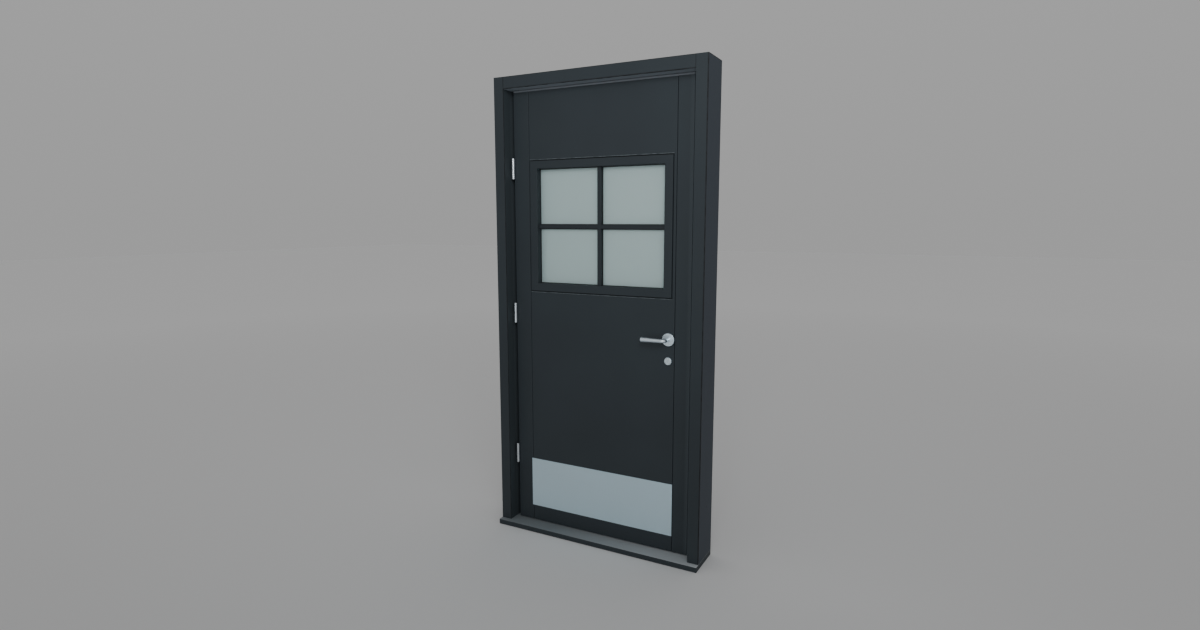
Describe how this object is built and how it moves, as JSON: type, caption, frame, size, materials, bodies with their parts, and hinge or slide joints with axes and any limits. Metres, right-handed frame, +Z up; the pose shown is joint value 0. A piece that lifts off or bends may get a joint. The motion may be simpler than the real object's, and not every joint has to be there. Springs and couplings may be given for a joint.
{
  "type": "glazed steel door in its frame",
  "caption": "Steel door in its frame, opening outwards, with a glazed light, lever handles, lift-off hinges, a lock cylinder and a kick plate.",
  "frame": {"origin": "on the sill's underside, at mid width and mid depth of the frame", "axes": "+X to the right seen from outside, +Y into the building, +Z up"},
  "size_m": [1.01, 0.1952, 2.1],
  "materials": {
    "frame_paint": "satin",
    "leaf_paint": "satin",
    "glazing_paint": "satin",
    "sill_paint": "satin",
    "leaf_core": "matte",
    "seal_rubber": "matte",
    "kick_steel": "brushed",
    "satin_steel": "satin",
    "hinge_steel": "satin",
    "plated_steel": "plated",
    "cylinder_nickel": "satin",
    "spacer_metal": "matte",
    "frosted_glass": "frosted",
    "clear_glass": "clear"
  },
  "bodies": {
    "frame": {"sill": "sill_paint", "hinge_jamb": "frame_paint", "lock_jamb": "frame_paint", "head": "frame_paint", "hinge_jamb_seal": "seal_rubber", "lock_jamb_seal": "seal_rubber", "head_seal": "seal_rubber", "sill_seal": "seal_rubber", "strike_plate": "plated_steel", "lower_hinge_frame_half": "hinge_steel", "middle_hinge_frame_half": "hinge_steel", "upper_hinge_frame_half": "hinge_steel"},
    "leaf": {"hinge_stile": "leaf_paint", "lock_stile": "leaf_paint", "top_rail": "leaf_paint", "bottom_rail": "leaf_paint", "core": "leaf_core", "outer_skin": "leaf_paint", "inner_skin": "leaf_paint", "outer_glazing_frame": "glazing_paint", "inner_glazing_frame": "glazing_paint", "outer_glazing_bars": "glazing_paint", "inner_glazing_bars": "glazing_paint", "outer_glass": "frosted_glass", "inner_glass": "clear_glass", "glass_spacer": "spacer_metal", "kick_plate": "kick_steel", "lock_faceplate": "plated_steel", "latch_bolt": "plated_steel", "dead_bolt": "plated_steel", "outer_rose": "satin_steel", "inner_rose": "satin_steel", "outer_cylinder_rose": "satin_steel", "inner_cylinder_rose": "satin_steel", "lock_cylinder": "cylinder_nickel", "lower_hinge_leaf_half": "hinge_steel", "middle_hinge_leaf_half": "hinge_steel", "upper_hinge_leaf_half": "hinge_steel"},
    "handle": {"outer_lever": "satin_steel", "inner_lever": "satin_steel", "spindle": "plated_steel"}
  },
  "joints": [
    {"name": "leaf_swing", "type": "hinge", "parent": "frame", "child": "leaf", "pos_m": [-0.435, -0.0385, 1], "axis": [0, 0, -1], "range_deg": [0, 110]},
    {"name": "handle_turn", "type": "hinge", "parent": "leaf", "child": "handle", "pos_m": [0.337, -0.03, 0.969], "axis": [0, -1, 0], "range_deg": [0, 45], "stiffness_Nm_per_rad": 1.5, "springref_deg": -20.05}
  ]
}
